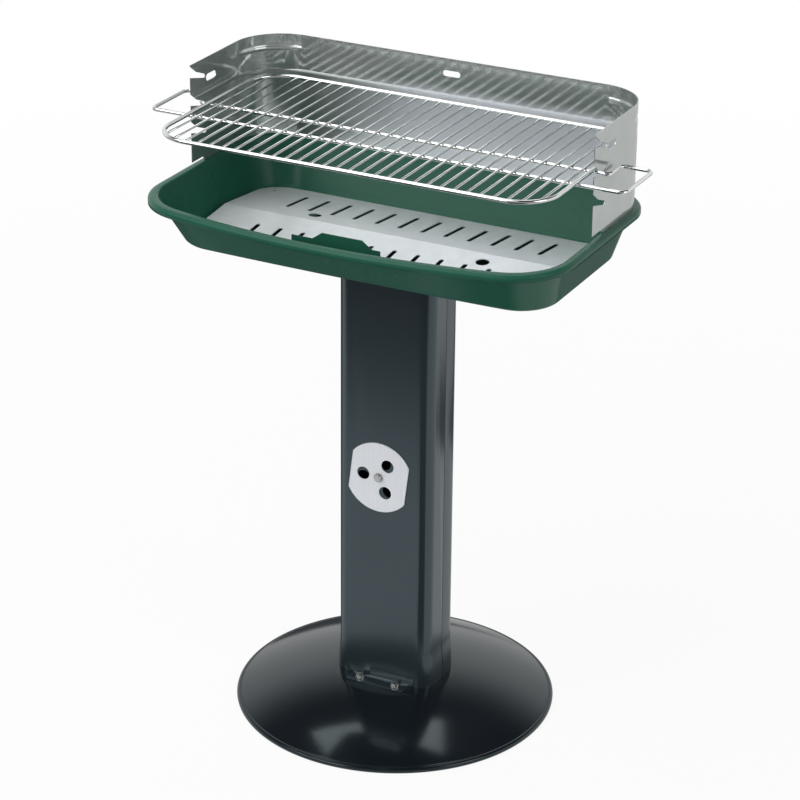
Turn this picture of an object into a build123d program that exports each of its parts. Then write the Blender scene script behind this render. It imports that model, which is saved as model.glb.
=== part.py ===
"""Pedestal charcoal barbecue: plinth, column with air damper, fire pan, windshield and cooking grid.

Millimetres. +Z is up and the cook stands on the -Y side. The pieces are drawn about the plinth's axis
and written out about the ground point under the middle of the overall size box.
"""
import os
from math import cos, radians, sin

from build123d import *

os.makedirs("parts", exist_ok=True)

# Sheet and running clearances
sheet = 1.5
seat_gap = 0.05
slide_gap = 0.3

# Plinth: a low spun dome with a rolled rim and a flat top that carries the column
plinth_radius = 215.0
plinth_height = 40.0
plinth_top_radius = 80.0
plinth_top_slope = 0.11
plinth_rim_slope = 0.42
plinth_edge_height = 6.8
plinth_bead_radius = 4.0
plinth_foot_flat = 0.5

# Column: two pressed half shells, their sides swaged wider at the foot
column_width = 137.0
column_depth = 84.0
column_corner = 18.0
column_seam_y = 2.0
column_lap = 10.0
swage_grow = 2.2
swage_bottom = 58.0
swage_top = 90.0
foot_flange_width = 84.0
foot_flange_depth = 22.0
top_flange_width = 92.0
top_flange_depth = 24.0

# Fire pan: the bowed opening, the flat floor and the rim around it
pan_floor = 650.0
pan_depth = 70.0
opening_half = 278.0
opening_front = -164.5
opening_rear = 143.0
front_bow = 38.5
opening_front_radius = 75.0
opening_rear_radius = 63.0
floor_inset_end = 25.5
floor_inset_front = 39.5
floor_inset_rear = 26.0
floor_bow = 5.0
floor_radius = 45.0
heel_height = 3.5
heel_grow = 5.0
rim_flat = 8.5
rim_round = 0.9
lip_width = 12.0
lip_drop = 2.5
lip_skirt = 6.5
lip_round = 3.0
draught_hole_radius = 30.0

# Fasteners
bolt_radius = 3.0
bolt_hole_gap = 0.2
bolt_head_radius = 5.5
bolt_head_height = 3.6
washer_radius = 6.5
washer_thick = 1.0
nut_radius = 5.6
nut_height = 4.5
nut_gap = 0.05
bolt_pitch = 52.0
foot_bolt_inset = 10.7
top_bolt_inset = 13.0

# Air damper on the front of the column
damper_x = -4.5
damper_z = 340.5
damper_radius = 49.0
damper_across_flats = 82.0
damper_thick = 1.5
damper_turn = -7.0
port_start = 55.0
port_radius = 9.0
port_pitch_radius = 22.5
port_offset = 14.0
pivot_radius = 3.0
pivot_gap = 0.05
pivot_head_radius = 5.5
pivot_head_height = 2.6

# Charcoal plate: a low roof of perforated sheet with a lifting handle at the front
plate_half = 252.0
plate_front_depth = 117.0
plate_rear_depth = 121.0
plate_ridge_y = -5.0
plate_rise = 12.0
plate_sheet = 1.2
plate_corner = 40.0
slot_count = 12
slot_pitch = 32.8
slot_length = 59.0
slot_width = 6.2
slot_from_ridge = 65.0
plate_hole_radius = 8.8
plate_hole_x = 131.0
plate_hole_from_ridge = 23.0
hang_hole_radius = 2.5
hang_hole_x = 231.0
hang_hole_from_ridge = 93.0
handle_width = 122.0
handle_raise_width = 55.0
handle_raise_x = 8.5
handle_shoulder = 13.5
handle_setback = 33.0
handle_rise = 1.5
handle_ear_drop = 9.5
handle_bend_drop = 16.0
handle_foot_width = 84.0
handle_foot_depth = 20.0
rivet_radius = 2.5
rivet_head_radius = 4.5
rivet_head_height = 1.6
rivet_pitch = 54.0

# Windshield: a U of bright sheet that stands on the rim
shield_sheet = 1.0
shield_front = -38.5
shield_height = 137.0
shield_step = 2.0
relief_length = 31.0
relief_height = 6.5
hang_slot_length = 25.0
hang_slot_width = 8.0
hang_slot_drop = 20.0
side_slot_length = 25.0
side_slot_height = 9.5
side_slot_y = 12.5
side_slot_drop = 27.5

# Cooking grid and the front notches that hold it at three heights
grid_lift = 77.0
level_step = 37.0
notch_depth = 33.5
notch_slope = 15.0
notch_mouth = 15.0
notch_knee = 15.0
notch_knee_drop = 11.0
loop_wire = 2.5
frame_wire = 2.75
bar_wire = 1.5
frame_half = 268.0
frame_front = -160.0
frame_rear = 133.0
frame_corner = 50.0
bar_count = 30
bar_end_gap = 12.8
handle_reach = 41.5
handle_front = -56.0
handle_rear = 31.0
handle_bend = 9.0
neck_gap = 4.0
neck_bend = 6.0

# Sizes that follow from the ones above
rim_height = pan_floor + pan_depth
shield_top = rim_height + shield_height
grid_z = rim_height + grid_lift
handle_top = rim_height + handle_rise
handle_bend_z = rim_height - handle_bend_drop
handle_y = opening_front - front_bow + handle_setback
shield_inner_half = opening_half + shield_step
shield_inner_rear = opening_rear + shield_step
shield_inner_radius = opening_rear_radius + shield_step
floor_top = pan_floor + sheet
column_foot = plinth_height + seat_gap
column_top = pan_floor - seat_gap
column_front = -column_depth / 2
notch_y = shield_front + notch_depth
bolt_hole = bolt_radius + bolt_hole_gap
foot_bolt_reach = column_depth / 2 + foot_bolt_inset
top_bolt_reach = column_depth / 2 - top_bolt_inset
front_reach = max(plinth_radius, front_bow + lip_width - opening_front)
frame_shift = (front_reach - plinth_radius) / 2


def keep(part, name):
    """Label a finished piece, move it to the shared frame and write it as its own STEP file."""
    piece = Pos(0, frame_shift, 0) * part.part
    piece.label = name
    export_step(piece, f"parts/{name}.step")


def pan_outline(height, grow, floor=0.0):
    """The pan's outline at a height: the opening grown outwards, drawn in towards the floor by a share."""
    half = opening_half + grow - floor * floor_inset_end
    front = opening_front - grow + floor * floor_inset_front
    rear = opening_rear + grow - floor * floor_inset_rear
    bow = front_bow + floor * (floor_bow - front_bow)
    front_radius = opening_front_radius + grow + floor * (floor_radius - opening_front_radius)
    rear_radius = opening_rear_radius + grow + floor * (floor_radius - opening_rear_radius)
    with BuildSketch(Plane.XY.offset(height)) as outline:
        with BuildLine():
            ThreePointArc((-half, front), (0, front - bow), (half, front))
            Polyline((half, front), (half, rear), (-half, rear), (-half, front))
        make_face()
        fillet(outline.vertices().sort_by(Axis.Y)[:2], front_radius)
        fillet(outline.vertices().sort_by(Axis.Y)[-2:], rear_radius)
    return outline.sketch


def column_outline(height, grow, side=0.0):
    """The column's rounded rectangle at a height, grown outwards all round and by side to both sides."""
    with BuildSketch(Plane.XY.offset(height)) as outline:
        RectangleRounded(column_width + 2 * (grow + side), column_depth + 2 * grow, column_corner + grow)
    return outline.sketch


def bolt_places(reach):
    """The four bolt places of a flanged column end: two in front and two behind."""
    return GridLocations(bolt_pitch, 2 * reach, 2, 2)


# Plinth: one spun sheet, hollow underneath, rolled at the rim
with BuildPart() as base_plinth:
    with BuildSketch(Plane.XZ) as plinth_profile:
        with BuildLine():
            rim_x = plinth_radius - plinth_bead_radius
            under = plinth_height - sheet
            edge_under = plinth_edge_height - sheet
            slopes = ((1, -plinth_top_slope), (1, -plinth_rim_slope))
            Spline((plinth_top_radius, plinth_height), (rim_x, plinth_edge_height), tangents=slopes)
            Line((plinth_top_radius, plinth_height), (0, plinth_height))
            Polyline((0, plinth_height), (0, under), (plinth_top_radius, under))
            Spline((plinth_top_radius, under), (rim_x, edge_under), tangents=slopes)
            Line((rim_x, plinth_edge_height), (rim_x, edge_under))
        make_face()
    revolve(axis=Axis.Z)
    with BuildSketch(Plane.XZ) as bead_profile:
        with Locations((rim_x, plinth_bead_radius - plinth_foot_flat)):
            Circle(plinth_bead_radius)
    revolve(axis=Axis.Z)
    Cylinder(
        2 * plinth_radius,
        plinth_height,
        align=(Align.CENTER, Align.CENTER, Align.MAX),
        mode=Mode.SUBTRACT,
    )
    with bolt_places(foot_bolt_reach):
        Cylinder(bolt_hole, 3 * plinth_height, mode=Mode.SUBTRACT)
keep(base_plinth, "base_plinth")


# Column halves: one swaged tube parted at the seam, with bent flanges at both ends
def column_body(grow):
    """The column as a solid, straight above the swage and wider from side to side below it."""
    with BuildPart() as body:
        extrude(column_outline(swage_top, grow), amount=column_top - swage_top)
        loft([column_outline(swage_top, grow), column_outline(swage_bottom, grow, swage_grow)])
        extrude(column_outline(swage_bottom, grow, swage_grow), amount=column_foot - swage_bottom)
    return body.part


foot_flange_y = column_depth / 2 + foot_flange_depth / 2 - sheet / 2
top_flange_y = column_depth / 2 - top_flange_depth / 2
seam_plane = Plane.XZ.offset(-column_seam_y)

with BuildPart() as column_front_shell:
    add(column_body(0))
    add(column_body(-sheet), mode=Mode.SUBTRACT)
    split(bisect_by=seam_plane, keep=Keep.TOP)
    with Locations((0, -foot_flange_y, column_foot + sheet / 2)):
        Box(foot_flange_width, foot_flange_depth + sheet, sheet)
    with Locations((0, -top_flange_y, column_top - sheet / 2)):
        Box(top_flange_width, top_flange_depth, sheet)
    with bolt_places(foot_bolt_reach):
        Cylinder(bolt_hole, 3 * swage_top, mode=Mode.SUBTRACT)
    with bolt_places(top_bolt_reach):
        with Locations((0, 0, column_top)):
            Cylinder(bolt_hole, 4 * sheet, mode=Mode.SUBTRACT)
    with Locations(Plane.XZ.offset(column_depth / 2)):
        with Locations((damper_x, damper_z)):
            Hole(pivot_radius + pivot_gap, depth=4 * sheet)
            with PolarLocations(port_pitch_radius, 3, start_angle=port_start + port_offset):
                Hole(port_radius, depth=4 * sheet)
keep(column_front_shell, "column_front_shell")

with BuildPart() as column_rear_shell:
    add(column_body(0))
    add(column_body(-sheet), mode=Mode.SUBTRACT)
    split(bisect_by=seam_plane.offset(-seat_gap), keep=Keep.BOTTOM)
    lap_outer = column_width / 2 - sheet - seat_gap
    lap_height = column_top - swage_top
    for side in (-1, 1):
        with BuildSketch(Plane.XY.offset(swage_top)):
            with Locations((side * (lap_outer - sheet / 2), column_seam_y)):
                Rectangle(sheet, 2 * column_lap)
            with Locations((side * (column_width / 2 - sheet), column_seam_y + column_lap / 2 + seat_gap)):
                Rectangle(sheet, column_lap)
        extrude(amount=lap_height)
    with Locations((0, foot_flange_y, column_foot + sheet / 2)):
        Box(foot_flange_width, foot_flange_depth + sheet, sheet)
    with Locations((0, top_flange_y, column_top - sheet / 2)):
        Box(top_flange_width, top_flange_depth, sheet)
    with bolt_places(foot_bolt_reach):
        Cylinder(bolt_hole, 3 * swage_top, mode=Mode.SUBTRACT)
    with bolt_places(top_bolt_reach):
        with Locations((0, 0, column_top)):
            Cylinder(bolt_hole, 4 * sheet, mode=Mode.SUBTRACT)
keep(column_rear_shell, "column_rear_shell")


# Fasteners: washers, bolts and nuts in groups of four, at the foot and under the pan
def bolt_group(name, reach, seat, grip, washer_under_head):
    """Four bolts whose heads press down at a height, with washers and nuts, each group in its own node."""
    head_seat = seat + seat_gap + (washer_thick + seat_gap if washer_under_head else 0)
    nut_seat = seat - grip - seat_gap - (0 if washer_under_head else washer_thick + seat_gap)
    washer_seat = seat + seat_gap if washer_under_head else seat - grip - seat_gap - washer_thick
    shank = head_seat - nut_seat + nut_height + 2 * sheet
    with BuildPart() as bolts:
        with BuildSketch(Plane.XY.offset(head_seat)) as heads:
            with bolt_places(reach):
                RegularPolygon(bolt_head_radius, 6)
        extrude(amount=bolt_head_height)
        chamfer(bolts.faces().sort_by(Axis.Z)[-4:].edges(), sheet / 2)
        with BuildSketch(Plane.XY.offset(head_seat)) as shanks:
            with bolt_places(reach):
                Circle(bolt_radius)
        extrude(amount=-shank)
    keep(bolts, f"{name}_bolts")
    with BuildPart() as washers:
        with BuildSketch(Plane.XY.offset(washer_seat)) as rings:
            with bolt_places(reach):
                Circle(washer_radius)
            with bolt_places(reach):
                Circle(bolt_hole, mode=Mode.SUBTRACT)
        extrude(amount=washer_thick)
    keep(washers, f"{name}_washers")
    with BuildPart() as nuts:
        with BuildSketch(Plane.XY.offset(nut_seat)) as hexagons:
            with bolt_places(reach):
                RegularPolygon(nut_radius, 6)
            with bolt_places(reach):
                Circle(bolt_radius + nut_gap, mode=Mode.SUBTRACT)
        extrude(amount=-nut_height)
    keep(nuts, f"{name}_nuts")


bolt_group("foot", foot_bolt_reach, column_foot + sheet, 2 * sheet + seat_gap, True)
bolt_group("pan", top_bolt_reach, floor_top, 2 * sheet + seat_gap, False)

# Fire pan: pressed and enamelled, with a flat rim that carries the windshield and a rounded lip
with BuildPart() as fire_pan:
    lip_edge = rim_height - lip_drop
    lip_floor = lip_edge - lip_skirt
    extrude(pan_outline(lip_floor, lip_width), amount=lip_skirt)
    loft([pan_outline(lip_edge, lip_width), pan_outline(rim_height, rim_flat)], ruled=True)
    fillet(fire_pan.edges().group_by(Axis.Z)[-3], lip_round)
    extrude(pan_outline(lip_floor, lip_width - sheet), amount=lip_skirt - sheet, mode=Mode.SUBTRACT)
    loft(
        [
            pan_outline(lip_edge - sheet, lip_width - sheet),
            pan_outline(rim_height - sheet, rim_flat - sheet),
        ],
        ruled=True,
        mode=Mode.SUBTRACT,
    )
    loft(
        [
            pan_outline(pan_floor, sheet, 1.0),
            pan_outline(pan_floor + heel_height, sheet + heel_grow, 1.0),
            pan_outline(rim_height - sheet, sheet),
        ],
        ruled=True,
    )
    loft(
        [
            pan_outline(floor_top, 0, 1.0),
            pan_outline(floor_top + heel_height, heel_grow, 1.0),
            pan_outline(rim_height, 0),
        ],
        ruled=True,
        mode=Mode.SUBTRACT,
    )
    fillet(fire_pan.faces().sort_by(Axis.Z)[-1].inner_wires()[0].edges(), rim_round)
    with Locations((0, 0, pan_floor)):
        Cylinder(draught_hole_radius, 6 * sheet, mode=Mode.SUBTRACT)
    with Locations((0, 0, pan_floor)):
        with bolt_places(top_bolt_reach):
            Cylinder(bolt_hole, 6 * sheet, mode=Mode.SUBTRACT)
keep(fire_pan, "fire_pan")

# Air damper: a disc with two flats and three ports, turned on one pivot screw
damper_back = column_front - slide_gap
damper_face = damper_back - damper_thick
with BuildPart() as air_damper:
    with BuildSketch(Plane.XZ.offset(-damper_back)) as disc:
        with Locations((damper_x, damper_z)):
            Circle(damper_radius)
            Rectangle(damper_across_flats, 3 * damper_radius, rotation=damper_turn, mode=Mode.INTERSECT)
            Circle(pivot_radius + pivot_gap, mode=Mode.SUBTRACT)
            with PolarLocations(port_pitch_radius, 3, start_angle=port_start):
                Circle(port_radius, mode=Mode.SUBTRACT)
    extrude(amount=damper_thick)
keep(air_damper, "air_damper")

washer_face = damper_face - slide_gap - washer_thick
with BuildPart() as damper_washer:
    with BuildSketch(Plane.XZ.offset(-damper_face + slide_gap)):
        with Locations((damper_x, damper_z)):
            Circle(washer_radius)
            Circle(pivot_radius + pivot_gap, mode=Mode.SUBTRACT)
    extrude(amount=washer_thick)
keep(damper_washer, "damper_washer")

nut_face = column_front + sheet + seat_gap
with BuildPart() as damper_pivot:
    with BuildSketch(Plane.XZ.offset(-washer_face + seat_gap)):
        with Locations((damper_x, damper_z)):
            Circle(pivot_head_radius)
    extrude(amount=pivot_head_height)
    fillet(damper_pivot.faces().sort_by(Axis.Y)[0].edges(), pivot_head_height / 2)
    with BuildSketch(Plane.XZ.offset(-washer_face + seat_gap)):
        with Locations((damper_x, damper_z)):
            Circle(pivot_radius)
    extrude(amount=washer_face - seat_gap - nut_face - nut_height - sheet)
keep(damper_pivot, "damper_pivot")

with BuildPart() as damper_nut:
    with BuildSketch(Plane.XZ.offset(-nut_face)):
        with Locations((damper_x, damper_z)):
            RegularPolygon(nut_radius, 6)
            Circle(pivot_radius + pivot_gap, mode=Mode.SUBTRACT)
    extrude(amount=-nut_height)
keep(damper_nut, "damper_nut")

# Charcoal plate: a shallow roof of slotted sheet, resting on the pan floor along its front and rear edges
plate_bottom = floor_top + seat_gap
plate_front = plate_ridge_y - plate_front_depth
plate_rear = plate_ridge_y + plate_rear_depth
with BuildPart() as charcoal_plate:
    with BuildSketch(Plane.YZ.offset(-plate_half)):
        with BuildLine():
            Polyline(
                (plate_front, plate_bottom),
                (plate_ridge_y, plate_bottom + plate_rise),
                (plate_rear, plate_bottom),
                (plate_rear, plate_bottom + plate_sheet),
                (plate_ridge_y, plate_bottom + plate_rise + plate_sheet),
                (plate_front, plate_bottom + plate_sheet),
                close=True,
            )
        make_face()
    extrude(amount=2 * plate_half)
    with BuildSketch(Plane.XY.offset(pan_floor)):
        with Locations((0, (plate_front + plate_rear) / 2)):
            RectangleRounded(2 * plate_half, plate_rear - plate_front, plate_corner)
    extrude(amount=3 * plate_rise, mode=Mode.INTERSECT)
    with BuildSketch(Plane.XY.offset(pan_floor)):
        with Locations((0, plate_ridge_y)):
            with GridLocations(slot_pitch, 2 * slot_from_ridge, slot_count, 2):
                SlotOverall(slot_length, slot_width, rotation=90)
            with Locations((-plate_hole_x, plate_hole_from_ridge), (plate_hole_x, -plate_hole_from_ridge)):
                Circle(plate_hole_radius)
            with Locations((-hang_hole_x, hang_hole_from_ridge), (hang_hole_x, hang_hole_from_ridge)):
                Circle(hang_hole_radius)
    extrude(amount=3 * plate_rise, mode=Mode.SUBTRACT)
    with Locations((0, plate_front + handle_foot_depth / 2, pan_floor)):
        with GridLocations(rivet_pitch, 1, 2, 1):
            Cylinder(rivet_radius + pivot_gap, 4 * plate_rise, mode=Mode.SUBTRACT)
keep(charcoal_plate, "charcoal_plate")

# Plate handle: a bent strip riveted to the plate, rising along the front wall to a grip with two ears
plate_pitch = plate_rise / plate_front_depth
foot_front = plate_front
foot_rear = plate_front + handle_foot_depth
foot_z = plate_bottom + plate_sheet + seat_gap
handle_back = handle_y + sheet
with BuildPart() as plate_handle:
    with BuildSketch(Plane.YZ.offset(-handle_width / 2)):
        with BuildLine():
            Polyline(
                (handle_y, handle_top),
                (handle_y, handle_bend_z),
                (foot_front, foot_z + plate_sheet),
                (foot_front + sheet, foot_z + plate_pitch * sheet),
                (foot_rear, foot_z + plate_pitch * handle_foot_depth),
                (foot_rear, foot_z + plate_pitch * handle_foot_depth + sheet),
                (foot_front + 2 * sheet, foot_z + plate_pitch * sheet + sheet),
                (handle_back, handle_bend_z + sheet),
                (handle_back, handle_top),
                close=True,
            )
        make_face()
    extrude(amount=handle_width)
    with BuildSketch(Plane.XZ.offset(-plate_ridge_y)) as front_view:
        with BuildLine():
            raised_left = handle_raise_x - handle_raise_width / 2
            raised_right = handle_raise_x + handle_raise_width / 2
            ear_top = handle_top - handle_ear_drop
            Polyline(
                (-handle_foot_width / 2, pan_floor),
                (-handle_foot_width / 2, handle_bend_z),
                (-handle_width / 2, handle_bend_z),
                (-handle_width / 2, ear_top),
                (raised_left - handle_shoulder, ear_top),
                (raised_left, handle_top),
                (raised_right, handle_top),
                (raised_right + handle_shoulder, ear_top),
                (handle_width / 2, ear_top),
                (handle_width / 2, handle_bend_z),
                (handle_foot_width / 2, handle_bend_z),
                (handle_foot_width / 2, pan_floor),
                close=True,
            )
        make_face()
    extrude(amount=2 * plate_front_depth, mode=Mode.INTERSECT)
    with Locations((0, plate_front + handle_foot_depth / 2, pan_floor)):
        with GridLocations(rivet_pitch, 1, 2, 1):
            Cylinder(rivet_radius + pivot_gap, 4 * plate_rise, mode=Mode.SUBTRACT)
keep(plate_handle, "plate_handle")

rivet_y = plate_front + handle_foot_depth / 2
rivet_seat = foot_z + plate_pitch * handle_foot_depth + sheet + seat_gap
with BuildPart() as handle_rivets:
    with BuildSketch(Plane.XY.offset(rivet_seat)):
        with Locations((0, rivet_y)):
            with GridLocations(rivet_pitch, 1, 2, 1):
                Circle(rivet_head_radius)
    extrude(amount=rivet_head_height)
    fillet(handle_rivets.faces().sort_by(Axis.Z)[-2:].edges(), rivet_head_height / 2)
    with BuildSketch(Plane.XY.offset(rivet_seat)):
        with Locations((0, rivet_y)):
            with GridLocations(rivet_pitch, 1, 2, 1):
                Circle(rivet_radius)
    extrude(amount=plate_bottom + 2 * seat_gap - rivet_seat)
keep(handle_rivets, "handle_rivets")

# Windshield: bright sheet bent to a U, notched at the front edges and relieved at the front feet
notch_rise = notch_depth * sin(radians(notch_slope)) / cos(radians(notch_slope))
seat_radius = loop_wire + slide_gap
shield_foot = rim_height + seat_gap
with BuildPart() as windshield:
    with BuildSketch(Plane.XY.offset(shield_foot)):
        for grow, cut in ((shield_sheet, Mode.ADD), (0, Mode.SUBTRACT)):
            half = shield_inner_half + grow
            rear = shield_inner_rear + grow
            radius = shield_inner_radius + grow
            with BuildSketch(mode=Mode.PRIVATE) as bend:
                with BuildLine():
                    left, right = (-half, shield_front), (half, shield_front)
                    FilletPolyline(left, (-half, rear), (half, rear), right, radius=radius)
                    Line(right, left)
                make_face()
            add(bend.sketch, mode=cut)
    extrude(amount=shield_top - shield_foot)
    with BuildSketch(Plane.YZ.offset(-2 * shield_inner_half)):
        for level in (-1, 0, 1):
            seat_z = grid_z + level * level_step
            mouth_z = seat_z - seat_radius + notch_rise
            with BuildLine():
                Polyline(
                    (notch_y, seat_z - seat_radius),
                    (shield_front, mouth_z),
                    (shield_front - notch_mouth, mouth_z),
                    (shield_front - notch_mouth, mouth_z + notch_mouth),
                    (shield_front, mouth_z + notch_mouth),
                    (shield_front + notch_knee, mouth_z + notch_mouth - notch_knee_drop),
                    (notch_y, seat_z + seat_radius),
                    close=True,
                )
            make_face()
            with Locations((notch_y, seat_z)):
                Circle(seat_radius)
        with Locations((shield_front, shield_foot)):
            SlotOverall(2 * relief_length, 2 * relief_height)
        with Locations((side_slot_y, shield_top - side_slot_drop)):
            SlotOverall(side_slot_length, side_slot_height)
    extrude(amount=4 * shield_inner_half, mode=Mode.SUBTRACT)
    with BuildSketch(Plane.XZ.offset(-shield_inner_rear)):
        with Locations((0, shield_top - hang_slot_drop)):
            SlotOverall(hang_slot_length, hang_slot_width)
    extrude(amount=2 * shield_sheet, both=True, mode=Mode.SUBTRACT)
keep(windshield, "windshield")

# Cooking grid: a wire frame, cross bars welded inside it and one long wire loop that makes both handles
with BuildPart() as grid_frame:
    frame_z = grid_z + loop_wire + frame_wire + seat_gap
    with BuildLine(Plane.XY.offset(frame_z)) as frame_path:
        FilletPolyline(
            (frame_half, frame_front),
            (frame_half, frame_rear),
            (-frame_half, frame_rear),
            (-frame_half, frame_front),
            radius=frame_corner,
            close=True,
        )
    frame_wire_path = frame_path.wire()
    with BuildSketch(Plane(frame_wire_path @ 0, z_dir=frame_wire_path % 0)):
        Circle(frame_wire)
    sweep(path=frame_wire_path)
keep(grid_frame, "grid_frame")

with BuildPart() as grid_handle_loop:
    neck_x = shield_inner_half + shield_sheet + neck_gap + loop_wire
    handle_half = neck_x + handle_reach
    with BuildLine(Plane.XY.offset(grid_z)) as loop_path:
        right = [
            (0, handle_front),
            (handle_half, handle_front),
            (handle_half, handle_rear),
            (neck_x, handle_rear),
            (neck_x, notch_y),
            (0, notch_y),
        ]
        bends = [handle_bend, handle_bend, neck_bend, neck_bend]
        FilletPolyline(*right, radius=bends)
        mirror(about=Plane.YZ)
    loop_wire_path = loop_path.wire()
    with BuildSketch(Plane(loop_wire_path @ 0, z_dir=loop_wire_path % 0)):
        Circle(loop_wire)
    sweep(path=loop_wire_path)
keep(grid_handle_loop, "grid_handle_loop")

with BuildPart() as grid_bars:
    bar_z = grid_z + loop_wire + bar_wire + seat_gap
    inner_half = frame_half - frame_wire
    inner_corner = frame_corner - frame_wire
    bar_pitch = 2 * (frame_half - bar_end_gap) / (bar_count - 1)
    for index in range(bar_count):
        bar_x = (index - (bar_count - 1) / 2) * bar_pitch
        past_corner = abs(bar_x) + bar_wire - (inner_half - inner_corner)
        trim = 0.0
        if past_corner > 0:
            trim = inner_corner - (inner_corner**2 - past_corner**2) ** 0.5
        bar_front = frame_front + frame_wire + trim + seat_gap
        bar_rear = frame_rear - frame_wire - trim - seat_gap
        with BuildSketch(Plane.XZ.offset(-bar_front)):
            with Locations((bar_x, bar_z)):
                Circle(bar_wire)
        extrude(amount=bar_front - bar_rear)
keep(grid_bars, "grid_bars")
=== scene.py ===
import math

import bmesh
import bpy
import numpy as np
from mathutils import Matrix, Vector


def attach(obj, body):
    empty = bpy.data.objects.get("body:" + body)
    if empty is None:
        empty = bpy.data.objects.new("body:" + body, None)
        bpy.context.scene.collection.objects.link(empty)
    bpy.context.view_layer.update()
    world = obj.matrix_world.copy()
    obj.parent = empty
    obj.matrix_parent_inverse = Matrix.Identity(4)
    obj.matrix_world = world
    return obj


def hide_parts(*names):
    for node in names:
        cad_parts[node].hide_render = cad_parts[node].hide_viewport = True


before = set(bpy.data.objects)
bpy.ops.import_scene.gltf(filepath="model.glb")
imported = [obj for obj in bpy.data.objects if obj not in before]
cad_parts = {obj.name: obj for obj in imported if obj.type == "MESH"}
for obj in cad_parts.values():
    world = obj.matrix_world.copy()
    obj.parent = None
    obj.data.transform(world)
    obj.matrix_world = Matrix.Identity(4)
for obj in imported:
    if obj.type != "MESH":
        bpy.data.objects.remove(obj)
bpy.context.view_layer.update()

# Plinth
# A round foot spun from one disc of steel sheet into a low dome, its rim rolled into a bead.
# The column is bolted to its flat top, the barbecue stands on the bead, and gloss black enamel covers it.
plinth_top = 0.040
plinth_flat_radius = 0.080
plinth_edge_height = 0.0068
plinth_bead = 0.004
plinth_bead_centre = (0.211, 0.0035)
plinth_top_slope = -0.11
plinth_rim_slope = -0.42
roll_start = math.radians(107)
roll_end = math.radians(-190)
plinth_steps = 192
dome_steps = 48
roll_steps = 44
flat_steps = 5
inside_end = -4
plinth_edge_angle = 50
sheet = 0.0015
merge_distance = 1e-6


def linear(code):
    """An sRGB hex colour as linear red, green, blue and alpha."""
    share = np.array([int(code[i:i + 2], 16) / 255 for i in (1, 3, 5)])
    light = np.where(share <= 0.04045, share / 12.92, ((share + 0.055) / 1.055) ** 2.4)
    return (*light.tolist(), 1.0)


def add(material, kind, inputs=None, **settings):
    """Add one node: settings are its properties, inputs its sockets, each a value or an output to link."""
    tree = material.node_tree
    made = tree.nodes.new(kind)
    for name, value in settings.items():
        setattr(made, name, value)
    for name, value in (inputs or {}).items():
        if isinstance(value, bpy.types.NodeSocket):
            tree.links.new(value, made.inputs[name])
        else:
            made.inputs[name].default_value = value
    return made


def new_material(name):
    """A node material with nothing in it yet."""
    material = bpy.data.materials.new(name)
    material.use_nodes = True
    material.node_tree.nodes.clear()
    return material


def grid_piece(name, points, wrap_rows=False, wrap_columns=False):
    """A smooth mesh object from one grid of points, or a stack of grids: four neighbours make one face."""
    rows, columns = points.shape[-3:-1]
    index = np.arange(points.size // 3).reshape(-1, rows, columns)
    if wrap_rows:
        index = np.concatenate([index, index[:, :1]], axis=1)
    if wrap_columns:
        index = np.concatenate([index, index[:, :, :1]], axis=2)
    corners = [index[:, :-1, :-1], index[:, :-1, 1:], index[:, 1:, 1:], index[:, 1:, :-1]]
    faces = np.stack(corners, axis=-1).reshape(-1, 4)
    mesh = bpy.data.meshes.new(name)
    mesh.from_pydata(points.reshape(-1, 3).tolist(), [], faces.tolist())
    welded = bmesh.new()
    welded.from_mesh(mesh)
    bmesh.ops.remove_doubles(welded, verts=welded.verts, dist=merge_distance)
    bmesh.ops.recalc_face_normals(welded, faces=welded.faces)
    welded.to_mesh(mesh)
    welded.free()
    mesh.shade_smooth()
    piece = bpy.data.objects.new(name, mesh)
    bpy.context.scene.collection.objects.link(piece)
    return piece


def spun(profile, steps):
    """A profile of radius and height turned about the upright axis, as a grid of points."""
    turn = np.linspace(0, 2 * np.pi, steps, endpoint=False)
    radius = profile[:, None, 0]
    height = np.broadcast_to(profile[:, None, 1], (len(profile), steps))
    return np.stack([radius * np.cos(turn), radius * np.sin(turn), height], axis=-1)


# The dome's height is a cubic in the radius that leaves the flat top and meets the bead at the two slopes.
# Its inside lies one sheet lower and ends a few steps before the bead.
reach = np.linspace(0, 1, dome_steps)
dome_run = plinth_bead_centre[0] - plinth_flat_radius
dome_drop = plinth_top - plinth_edge_height
top_fall = plinth_top_slope * dome_run
rim_fall = plinth_rim_slope * dome_run
dome_radius = plinth_flat_radius + dome_run * reach
dome_height = (
    plinth_top
    + top_fall * reach
    + (-3 * dome_drop - 2 * top_fall - rim_fall) * reach**2
    + (2 * dome_drop + top_fall + rim_fall) * reach**3
)
outside = np.stack([dome_radius, dome_height], axis=1)
roll = np.linspace(roll_start, roll_end, roll_steps)
rolled_rim = np.array(plinth_bead_centre) + plinth_bead * np.stack([np.cos(roll), np.sin(roll)], axis=1)
rolled_rim[:, 1] = np.maximum(rolled_rim[:, 1], 0)
inside = np.stack([dome_radius[inside_end::-1], dome_height[inside_end::-1] - sheet], axis=1)
flat_radius = np.linspace(0, plinth_flat_radius, flat_steps, endpoint=False)
flat_top = np.stack([flat_radius, np.full(flat_steps, plinth_top)], axis=1)
flat_under = flat_top[::-1] - (0, sheet)
plinth_profile = np.concatenate([flat_top, outside[:-1], rolled_rim, inside, flat_under])
plinth = grid_piece("plinth_dome", spun(plinth_profile, plinth_steps), wrap_columns=True)
plinth.data.set_sharp_from_angle(angle=math.radians(plinth_edge_angle))

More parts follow.
